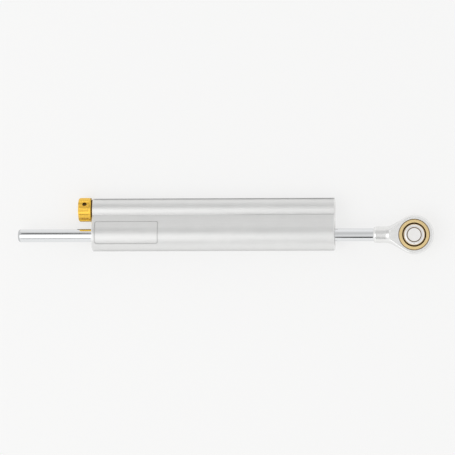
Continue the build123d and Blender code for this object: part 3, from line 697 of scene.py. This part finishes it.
class DAMPER_OT_body(bpy.types.Operator):
    """Makes the extruded body with its bores and the bare engraved outline"""

    bl_idname = "damper.body"
    bl_label = "Body"

    def execute(self, context):
        size, panel = context.scene.damper_body, context.scene.damper_panel
        grids = [body_skin(size, panel), rod_bore(size), valve_bore(size)]
        ends = (BODY_START, BODY_END)
        piece("body_shell", grids, "anodised_silver", "damper_body", "damper", fill_ends=ends)
        return {"FINISHED"}


# Rod


def rod_shell(size):
    """The rod, turned about X: its rounded free end, which is a little dull, the two grooves for the
    piston's snap rings, and the stud in the eye."""
    piston_low, piston_high = (corner.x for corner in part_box("piston_clips"))
    clip, radius, groove = 0.9 * MM, size.radius, size.groove_radius
    bend = arc((ROD_START + size.end_cut, radius - size.end_cut), size.end_cut, 180, 90, 16)
    straight = [(ROD_START + size.end_cut + clip, radius)]
    for left, right in ((piston_low, piston_low + clip), (piston_high - clip, piston_high)):
        straight += [(left, radius), (left, groove), (right, groove), (right, radius)]
    stud, stud_end = size.stud_radius, EYE_START + size.stud_length
    straight += [(EYE_START, radius), (EYE_START, stud), (stud_end, stud), (stud_end, 0)]
    tail, tail_wear = rounded(straight, [0] * 9 + [EASED, 0, BROAD, 0])
    outline = np.concatenate([[(ROD_START, 0)], bend, tail])
    wear = np.concatenate([[0], -0.5 * np.sin(np.linspace(0, math.pi, len(bend))), tail_wear])
    return turned(outline, wear, (0, 0, 0))


class DAMPER_OT_rod(bpy.types.Operator):
    """Makes the ground rod with its rounded free end, grooves and stud"""

    bl_idname = "damper.rod"
    bl_label = "Rod"

    def execute(self, context):
        piece("rod_surface", [rod_shell(context.scene.damper_rod)], "hard_chrome", "piston_rod", "rod")
        return {"FINISHED"}


# Rod eye and bearing


def neck_radius(size, x):
    """The turned radius of the eye at x: the shank, a fillet, a cone, then the head's circle."""
    slope = size.neck_slope
    touch = size.head_radius * np.array([-math.sin(slope), math.cos(slope)])
    corner = touch[0] - (touch[1] - size.shank_radius) / math.tan(slope)
    start = corner - size.neck_fillet * math.tan(slope / 2)
    end = start + size.neck_fillet * math.sin(slope)
    drop = np.sqrt(np.maximum(size.neck_fillet**2 - (x - start) ** 2, 0))
    bowl = size.shank_radius + size.neck_fillet - drop
    cone = touch[1] + (x - touch[0]) * math.tan(slope)
    crown = np.sqrt(np.maximum(size.head_radius**2 - x**2, 0))
    return np.select([x < start, x < end, x < touch[0]], [size.shank_radius + 0 * x, bowl, cone], crown)


def head_reach(size, turn, height):
    """How far the head reaches from its middle in a direction in the XY plane, at a height. It is where
    (r sin t)^2 + z^2 passes the turned radius squared at r cos t, found by halving, or a little past the
    step at flat_start, where the head runs into the shank."""
    overlap, halvings = 0.4 * MM, 44
    low = np.full(np.broadcast_shapes(turn.shape, height.shape), 0.3 * size.head_radius)
    high = np.full_like(low, 2.2 * size.head_radius)
    for _ in range(halvings):
        mid = (low + high) / 2
        inside = (mid * np.sin(turn)) ** 2 + height**2 < neck_radius(size, mid * np.cos(turn)) ** 2
        inside &= mid * np.cos(turn) < size.head_radius
        low, high = np.where(inside, mid, low), np.where(inside, high, mid)
    return np.minimum(low, (size.flat_start + overlap) / np.maximum(-np.cos(turn), 1e-9))


def head_shell(size):
    """The milled head as a ring: up the race's bore, over its chamfer, out along one flat, round the
    edge, down the turned side and back under the other flat. Across the ring the angle goes round Z.
    Grease has settled in the bore."""
    columns = 288
    turn = np.linspace(0, math.tau, columns, endpoint=False)[None, :]
    half, cut = size.head_thickness / 2, size.edge_cut
    bore, mouth = size.race_radius, size.race_radius + size.race_gap
    rim = head_reach(size, turn, np.array([[half]]))
    side_heights = np.linspace(half - cut, 0, 14)[:, None]
    side = head_reach(size, turn, side_heights)
    t = np.linspace(0, 1, 6)[:, None]
    bend_r = curved(rim - cut, rim, side[:1], t)
    bend_z = curved(half, half, half - cut, t) + 0 * bend_r
    flat_share = np.array([0.04, *np.linspace(0, 1, 7)[1:-1]])[:, None]
    flat_r = mouth + (rim - cut - mouth) * flat_share
    ones = np.ones_like(turn)
    inner_r = np.array([[bore], [bore], [mouth]]) * ones
    inner_z = np.array([[0], [half - size.race_gap], [half]]) * ones
    radius = np.concatenate([inner_r, flat_r, bend_r, side[1:]])
    level = np.concatenate([inner_z, half + 0 * flat_r, bend_z, side_heights[1:] * ones])
    wear = np.concatenate([[-1, -1, -0.6], 0 * flat_share[:, 0], [0.6, 1, 1, 1, 1, 0.6], 0 * side[1:, 0]])
    radius = np.concatenate([radius, radius[-2:0:-1]])
    level = np.concatenate([level, -level[-2:0:-1]])
    wear = np.concatenate([wear, wear[-2:0:-1]])[:, None] * ones
    return np.stack([radius * np.cos(turn), radius * np.sin(turn), level], -1), wear


def shank_shell(size):
    """The round shank and neck, from the chamfer at the rod to the milled step, with the stud's hole."""
    start, step, radius = EYE_START, -size.flat_start, size.shank_radius
    hole, floor = 3.02 * MM, start + 11.3 * MM
    straight, short_of_step = 1.0 * MM, 0.2 * MM
    chamfer_end = start + size.shank_chamfer_length
    x = np.linspace(chamfer_end + straight, step - short_of_step, 40)
    neck = np.stack([x, neck_radius(size, x)], 1)
    edge = neck_radius(size, np.array([step]))[0]
    face = [(floor, hole), (start, hole), (start, radius - size.shank_chamfer)]
    front = face + [(chamfer_end, radius), neck[0]]
    front, front_wear = rounded(front, [0, BROKEN, EASED, EASED, 0])
    back, back_wear = rounded([neck[-1], (step, edge), (step, 0.0)], [0, EASED, 0])
    outline = np.concatenate([[(floor, 0)], front, neck[1:-1], back])
    wear = np.concatenate([[0], front_wear, 0 * x[1:-1], back_wear])
    return turned(outline, wear, (0, 0, 0), columns=160)


def race_shell(size):
    """The race, turned about Z: its hollow, its two faces and its outer side. Grease has settled in the
    hollow and in the joint round the race. Each face is lighter across its middle and darker at its rounded
    edges, a painted highlight and painted shade for a rounded face."""
    band, clear = 0.5 * MM, 0.02 * MM
    half, mouth = size.head_thickness / 2, size.race_mouth
    edge, skin = size.race_radius - clear, size.race_gap
    inner = size.ball_radius + size.play
    lip = math.degrees(math.acos(mouth / inner))
    hollow = arc((0, 0), inner, 90 + lip, 90 - lip, 24)
    face = [(half, radius) for radius in (mouth, mouth + band, edge - skin - band, edge - skin)]
    upper = [(hollow[-1, 0], mouth), *face, (half - skin, edge)]
    shell, wear = mirrored(upper, [0, EASED, 0, 0, CRISP, KEEN], 1.5 * SHORT_FADE)
    outline = np.concatenate([hollow[1:-1], shell])
    # Grease in the hollow; on the faces, -0.35 at the rounded edges is painted shade and 0.15 between them a
    # painted highlight
    worn_and_painted_light = np.concatenate([np.full(len(hollow) - 2, -1.0), np.where(wear > 0, -0.35, 0.15)])
    worn_and_painted_light = worn_and_painted_light - 1.6 * (outline[:, 1] > edge - skin / 2) * (np.abs(outline[:, 0]) < half)
    return turned(outline, worn_and_painted_light, (0, 0, 0), True)


def ball_shell(size):
    """The ball, turned about Z: its sphere, its two flat faces and its bore. Grease has settled where the
    sphere comes out of the race. The chamfers at the mouths of the bore are painted dark, a painted dark
    reflection."""
    tilt = math.degrees(math.acos(size.ball_face / size.ball_radius))
    sphere = arc((0, 0), size.ball_radius, 90 + tilt, 90 - tilt, 56)
    top, bore, chamfer = sphere[-1, 0], size.bore_radius, size.bore_chamfer
    corners = [sphere[-1], (top, bore + chamfer), (top - chamfer, bore)]
    inside, worn_and_painted_light = mirrored(corners, 3 * [CRISP], SHORT_FADE)
    at_mouth = (inside[:, 1] < bore + chamfer + BROKEN) & (np.abs(inside[:, 0]) > top - chamfer - KEEN)
    outside, grease_start, grease_blend = sphere[2:-2], 6.3 * MM, 0.6 * MM
    darkened_share = -ease((outside[:, 1] - grease_start) / grease_blend)
    # At the bore's mouths, -1.2 paints the chamfers dark, a painted dark reflection
    wear = np.concatenate([darkened_share, np.where(at_mouth, -1.2, worn_and_painted_light)])
    return turned(np.concatenate([outside, inside]), wear, (0, 0, 0), True)


class DAMPER_OT_eye(bpy.types.Operator):
    """Makes the rod eye, turned and then milled flat on two sides"""

    bl_idname = "damper.eye"
    bl_label = "Rod Eye"

    def execute(self, context):
        size = context.scene.damper_eye
        piece("eye_body", [shank_shell(size), head_shell(size)], "eye_steel", "rod_eye", "rod", loops=(1,))
        return {"FINISHED"}


class DAMPER_OT_bearing(bpy.types.Operator):
    """Makes the race pressed in the head and the bored ball that swivels in it"""

    bl_idname = "damper.bearing"
    bl_label = "Bearing"

    def execute(self, context):
        size = context.scene.damper_eye
        piece("race_ring", [race_shell(size)], "race_bronze", "eye_race", "rod", loops=(0,))
        piece("ball_surface", [ball_shell(size)], "ball_steel", "eye_ball", "ball", loops=(0,))
        return {"FINISHED"}


# Knob


def smaller(first, second, blend):
    """The smaller of two arrays, rounded over a blend where they meet: with h = (1 + (b - a) / blend) / 2
    kept from 0 to 1, it is b (1 - h) + a h - blend h (1 - h)."""
    h = np.clip(0.5 + 0.5 * (second - first) / blend, 0, 1)
    return second * (1 - h) + first * h - blend * h * (1 - h)


def knob_outline(size):
    """The knob's turned outline before its hollows are cut, and how worn it is. Its points are close
    together across the set screw's hole and where the hollows end at the rim."""
    start, end, radius = KNOB_START, KNOB_END, size.radius
    hub, side_end, tail_start = 3 * MM, end - 0.8 * MM, end - 0.7 * MM
    hole_reach, before_rim, past_rim = 1.4 * MM, 0.35 * MM, 0.2 * MM
    screw, stop = (start + end) / 2, end - size.flute_stop
    bend = arc((start + size.corner, radius - size.corner), size.corner, 180, 90, 14)
    plain = np.linspace(start + size.corner, side_end, 30)
    at_hole = screw + np.linspace(-hole_reach, hole_reach, 40)
    at_rim = stop + np.linspace(-before_rim, past_rim, 10)
    x = np.concatenate([plain, at_hole, at_rim])
    x = np.unique(np.round(x[x > start + size.corner], 7))
    tail = [(tail_start, radius), (end - size.chamfer, radius), (end, radius - size.chamfer)]
    tail += [(end, size.hole_radius), (start + size.cap, size.hole_radius), (start + size.cap, 0)]
    tail, tail_wear = rounded(tail, [0, BROKEN, BROKEN, BROKEN, 0, 0], SHORT_FADE)
    outline = np.concatenate([[(start, 0), (start, hub)], bend, np.stack([x, radius + 0 * x], 1), tail])
    return outline, np.concatenate([np.zeros(2 + len(bend) + len(x)), tail_wear])


def knob_turns(size):
    """The angles round the knob in one row, closer together across the set screw's hole."""
    near = size.flute_angle + np.radians(np.linspace(-12, 12, 60))
    turn = np.concatenate([np.linspace(0, math.tau, 320, endpoint=False), near])
    return np.unique(np.round(turn, 6))[None, :]


def knob_shell(size):
    """The scalloped knob. At the angle t from a hollow's middle, the cutter of radius c at the distance d
    leaves the radius d cos t - sqrt(c^2 - (d sin t)^2). The knob's turned outline is cut to that, up to
    the rim, and sunk to the recess over the set screw inside its hole. The hollows' edges are rubbed, and
    inside the hole the knob is painted dark, a painted shade."""
    outline, wear = knob_outline(size)
    turn = knob_turns(size)
    along, radius = outline[:, :1], outline[:, 1:]
    core = 4 * MM
    fluted = radius > core
    pitch = math.tau / size.flutes
    off = np.mod(turn - size.flute_angle + pitch / 2, pitch) - pitch / 2
    distance = size.radius + size.flute_radius - size.flute_depth
    chord = size.flute_radius**2 - (distance * np.sin(off)) ** 2
    hollow = np.where(chord > 0, distance * np.cos(off) - np.sqrt(np.maximum(chord, 0)), distance)
    stop, run_out, clear = KNOB_END - size.flute_stop, 0.22 * MM, 2 * MM
    wall = hollow + clear * ease((along - stop + run_out) / run_out)
    lathe = radius + 0 * turn
    cut = np.where(fluted, smaller(lathe, wall, size.edge), lathe)
    rubbed_width, hole_edge = 0.25 * MM, 0.1 * MM
    ridge = np.clip(1 - np.abs(lathe - wall) / rubbed_width, 0, 1) * fluted
    from_hole = np.hypot(along - (KNOB_START + KNOB_END) / 2, cut * (turn - size.flute_angle))
    sunk = ease((size.screw_radius + 0.8 * hole_edge - from_hole) / hole_edge) * fluted
    cut = cut - np.maximum(cut - size.screw_floor, 0) * sunk
    # Inside the screw's hole the knob is painted dark, a painted shade in the recess
    worn_and_painted_light = np.clip(np.maximum(wear[:, None], ridge), 0, 1) * (1 - sunk) - sunk
    across = ADJUSTER[1] + cut * np.sin(turn), ADJUSTER[2] + cut * np.cos(turn)
    return np.stack([along + 0 * turn, *across], -1), worn_and_painted_light


class DAMPER_OT_knob(bpy.types.Operator):
    """Makes the scalloped knob with its full rim and the recess over its set screw"""

    bl_idname = "damper.knob"
    bl_label = "Knob"

    def execute(self, context):
        grids = [knob_shell(context.scene.damper_knob)]
        piece("knob_shell", grids, "anodised_gold", "adjuster_knob", "knob", crease=38.0)
        return {"FINISHED"}


# Compensator spring


# Rings to a turn, and points round the wire
WIRE_RINGS, WIRE_POINTS = 40, 16


def wound_wire(size, low, high):
    """A round wire wound about the small bore's axis. At the angle a its middle lies at R (cos a, sin a)
    across the axis and at x along it, which rises by the wire's closed pitch in each end turn and evenly
    in between. With the tangent T, N = (0, cos a, sin a) and B = T x N, the surface is the middle plus
    r (N cos b + B sin b). The first and last rings are a little smaller, which breaks the edges of the
    wire's two ends."""
    thick = size.wire / 2
    winding = (high[1] - low[1]) / 2 - thick
    start, end = low[0] + thick, high[0] - thick
    closed = size.wire + size.gap
    turns = np.linspace(0, size.turns, int(size.turns * WIRE_RINGS) + 1)
    x = np.interp(turns, [0, 1, size.turns - 1, size.turns], [start, start + closed, end - closed, end])
    flat = np.stack([0 * x, np.cos(turns * math.tau), np.sin(turns * math.tau)], 1)
    middle = np.stack([x, 0 * x, 0 * x], 1) + winding * flat
    across = unit(np.cross(unit(np.gradient(middle, axis=0)), flat))
    side = np.linspace(0, math.tau, WIRE_POINTS, endpoint=False)[None, :, None]
    radius = np.where((turns > 0) & (turns < size.turns), thick, 0.96 * thick)[:, None, None]
    tube = middle[:, None] + radius * (flat[:, None] * np.cos(side) + across[:, None] * np.sin(side))
    caps = [np.repeat(middle[place][None, None], WIRE_POINTS, 1) for place in (0, -1)]
    grid = np.concatenate([caps[0], tube, caps[1]]) + [0, ADJUSTER[1], ADJUSTER[2]]
    return grid, np.zeros(grid.shape[:2])


class DAMPER_OT_spring(bpy.types.Operator):
    """Makes the compensator's spring"""

    bl_idname = "damper.spring"
    bl_label = "Compensator Spring"

    def execute(self, context):
        low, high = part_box("compensator_spring")
        grids = [wound_wire(context.scene.damper_spring, low, high)]
        made = piece("spring_wire", grids, "stainless_steel", "compensator_spring")
        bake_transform(made)
        return {"FINISHED"}


# Finishes of the CAD nodes


class DAMPER_OT_finishes(bpy.types.Operator):
    """Makes every finish and gives each CAD node the one of its slot"""

    bl_idname = "damper.finishes"
    bl_label = "Finishes"

    def execute(self, context):
        for material in list(bpy.data.materials):
            material.name = "packed_" + material.name
        made = finishes(context.scene.damper_colours)
        for subpart in frame["record"]["subparts"]:
            for slot in frame["nodes"][subpart["node"]].material_slots:
                slot.link = "OBJECT"
                slot.material = made[subpart["material_slot"]]
        return {"FINISHED"}


# Stage


# The ground that the camera sees behind the floor
BACKDROP = (0.91, 0.91, 0.905, 1.0)

# The rays to which the floor shows its own paleness
SEEING_RAYS = ("Camera", "Glossy", "Transmission")

# The cards that face the damper: name, X, lean towards +Y in degrees, distance, extent and level
CARDS = (
    ("card_back", -1.12, 42, 1.75, (1.9, 1.60), 0.69),
    ("card_back_dark", -0.43, 39, 1.60, (0.14, 0.38), 0.0),
    ("card_front", -0.62, -73, 2.20, (2.8, 2.10), 1.0),
    ("card_front_dark", -0.05, -49, 1.60, (0.15, 0.64), 0.05),
    ("card_front_left", -0.43, -56, 1.60, (0.14, 0.28), 0.45),
    ("card_top_right", -0.05, -9, 1.60, (0.15, 0.72), 0.84),
    ("card_back_right", -0.05, 70, 1.60, (0.15, 0.56), 1.0),
)

# The dark cards that lie just above the floor beside the damper and under the knob, a painted shadow that
# only reflections show: name, place, extent and level
SHADOW_CARDS = (
    ("back_edge", ((BODY_START + BODY_END) / 2, 0.0290), (0.15, 0.0110), 0.15),
    ("front_edge", ((BODY_START + BODY_END) / 2, -0.0195), (0.15, 0.0100), 0.60),
    ("under_knob", (ADJUSTER[0], 0.0125), (0.012, 0.018), 0.2),
)
LOW_CARD_HEIGHT = 0.6 * MM


def placed(name, data, matrix):
    """A new object in the scene, placed by a matrix."""
    made = bpy.data.objects.new(name, data)
    made.matrix_world = matrix
    bpy.context.scene.collection.objects.link(made)
    return made


def stage_plane(name, width, depth, matrix, material):
    """A flat rectangle of the stage, placed by a matrix."""
    corners = np.array([(-1, -1, 0), (1, -1, 0), (1, 1, 0), (-1, 1, 0)]) * (width / 2, depth / 2, 0)
    mesh = bpy.data.meshes.new(name)
    mesh.from_pydata(corners.tolist(), [], [(0, 1, 2, 3)])
    mesh.materials.append(material)
    plane = placed(name, mesh, matrix)
    plane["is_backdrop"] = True
    return plane


def facing(place, target):
    """A matrix at a place whose -Z axis points at a target."""
    place, target = np.asarray(place, float), np.asarray(target, float)
    back = unit(place - target)
    side = np.array([1.0, 0, 0]) if abs(back[0]) < 0.9 else np.array([0, 1.0, 0])
    up = unit(np.cross(back, side))
    matrix = np.eye(4)
    matrix[:3] = np.stack([np.cross(up, back), up, back, place], 1)
    return Matrix(matrix.tolist())


def lamp(name, place, target, size, strength):
    """A rectangular lamp of a given radiance, kept out of the camera's sight."""
    data = bpy.data.lights.new(name, "AREA")
    data.shape = "RECTANGLE"
    data.size, data.size_y = size
    data.energy = strength * math.pi * size[0] * size[1]
    placed(name, data, facing(place, target)).visible_camera = False


def floor_finish(level, glow):
    """A pale, faintly mottled floor. The camera and reflections see a share of its paleness in shadow too."""
    material = bpy.data.materials.new("pale_floor")
    start = expressions(material)
    clouds = noise(start.node("TexCoord", output="Object"), FLOOR_CLOUDS)
    tone = clouds.between(0.3, 0.7).mixed(shaded(WHITE, level * 0.99), shaded(WHITE, level))
    inputs = {"Base Color": tone, "Roughness": 0.9, "Specular IOR Level": 0.0}
    lit = start.node("BsdfPrincipled", inputs)
    rays = [start.node("LightPath", output=f"Is {kind} Ray") for kind in SEEING_RAYS]
    seen = (rays[0] + rays[1] + rays[2]).clipped(0.0, 1.0) * glow
    pale = start.node("Emission", {"Color": (1.0, 1.0, 0.995, 1.0), "Strength": 1.0})
    start.node("MixShader", {0: seen, 1: lit, 2: pale}).shown()
    return material


def card(name, extent, matrix, level):
    """A plain card that only reflections show."""
    material = bpy.data.materials.new("card")
    glow = expressions(material).node("Emission", {"Color": shaded(WHITE, level)})
    glow.shown()
    made = stage_plane(name, *extent, matrix, material)
    made.visible_camera = False
    made.visible_diffuse = False
    made.visible_shadow = False


class DAMPER_OT_stage(bpy.types.Operator):
    """Makes the floor, the lamps, the cards that the metal reflects, the world and the camera"""

    bl_idname = "damper.stage"
    bl_label = "Stage"

    def execute(self, context):
        size, scene = context.scene.damper_stage, context.scene
        low = float(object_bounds()[0].z)
        ground = Matrix.Translation((size.view_x, 0, low))
        pale = floor_finish(size.floor_shade, size.floor_glow)
        stage_plane("floor", size.floor_size, size.floor_size, ground, pale)
        lamp("overhead", (-1.11, -0.36, 1.5), (-1.11, 0, 0), (1.73, 1.5), 0.90)
        for name, x, lean, away, extent, level in CARDS:
            lean = math.radians(lean)
            place = (x, away * math.sin(lean), away * math.cos(lean))
            card(name, extent, facing(place, (x, 0, 0)), level)
        card("card_left", (1.6, 3.2), facing((-2.3, -0.35, 1.35), (0, 0, 0)), 1.0)
        card("card_above_eye", (0.36, 0.60), Matrix.Translation((0.10, 0, 1.6)), 0.80)
        # Dark cards on the floor, a painted shadow that the metal reflects
        for name, place, extent, level in SHADOW_CARDS:
            card(name, extent, Matrix.Translation((*place, low + LOW_CARD_HEIGHT)), level)
        self.light_world(scene, size)
        self.place_camera(scene, size)
        scene.view_settings.view_transform = "Standard"
        return {"FINISHED"}

    def light_world(self, scene, size):
        """Light from all round, a little stronger from the sides, seen as a pale ground by the camera."""
        scene.world = bpy.data.worlds.new("even_light")
        start = expressions(scene.world)
        seen = start.node("LightPath", output="Is Camera Ray")
        place = start.node("TexCoord", output="Generated")
        rise = start.node("SeparateXYZ", {"Vector": place}, "Z").between(0.1, 0.95)
        soft = rise.mixed(shaded(WHITE, size.horizon_level), shaded(WHITE, size.zenith_level))
        inputs = {"Color": seen.mixed(soft, BACKDROP), "Strength": 1.0}
        start.node("Background", inputs).shown("World")

    def place_camera(self, scene, size):
        """The camera high above, a little to the right of the damper's middle, as in the photograph."""
        data = bpy.data.cameras.new("camera")
        data.sensor_width = 36.0
        data.clip_start, data.clip_end = 0.01, 50.0
        place, target = (size.camera_x, size.view_y, size.camera_height), (size.view_x, size.view_y, 0)
        data.lens = data.sensor_width * math.dist(place, target) / size.view_width
        scene.camera = placed("camera", data, facing(place, target) @ Matrix.Rotation(size.tilt, 4, "Z"))


class DAMPER_PT_panel(bpy.types.Panel):
    """Lists the damper's pieces and their sizes"""

    bl_label = "Steering Damper"
    bl_idname = "DAMPER_PT_panel"
    bl_space_type = "VIEW_3D"
    bl_region_type = "UI"
    bl_category = "Damper"

    def draw(self, context):
        for operator in OPERATORS:
            self.layout.operator(operator.bl_idname)
        for name, group in GROUPS.items():
            box = self.layout.box()
            box.label(text=group.__doc__)
            for key in group.__annotations__:
                box.prop(getattr(context.scene, name), key)


OPERATORS = (
    DAMPER_OT_finishes,
    DAMPER_OT_body,
    DAMPER_OT_rod,
    DAMPER_OT_eye,
    DAMPER_OT_bearing,
    DAMPER_OT_knob,
    DAMPER_OT_spring,
    DAMPER_OT_stage,
)
GROUPS = {
    "damper_body": BodySizes,
    "damper_panel": PanelSizes,
    "damper_rod": RodSizes,
    "damper_eye": EyeSizes,
    "damper_knob": KnobSizes,
    "damper_spring": SpringSizes,
    "damper_colours": FinishColours,
    "damper_stage": StageSizes,
}


def register():
    for group in GROUPS.values():
        bpy.utils.register_class(group)
    for name, group in GROUPS.items():
        setattr(bpy.types.Scene, name, PointerProperty(type=group))
    for operator in OPERATORS:
        bpy.utils.register_class(operator)
    bpy.utils.register_class(DAMPER_PT_panel)


def unregister():
    bpy.utils.unregister_class(DAMPER_PT_panel)
    for operator in reversed(OPERATORS):
        bpy.utils.unregister_class(operator)
    for name, group in GROUPS.items():
        delattr(bpy.types.Scene, name)
        bpy.utils.unregister_class(group)


def main():
    """Builds everything in order."""
    register()
    bpy.ops.damper.finishes()
    bpy.ops.damper.body()
    bpy.ops.damper.rod()
    bpy.ops.damper.eye()
    bpy.ops.damper.bearing()
    bpy.ops.damper.knob()
    bpy.ops.damper.spring()
    bpy.ops.damper.stage()


if __name__ == "__main__":
    main()
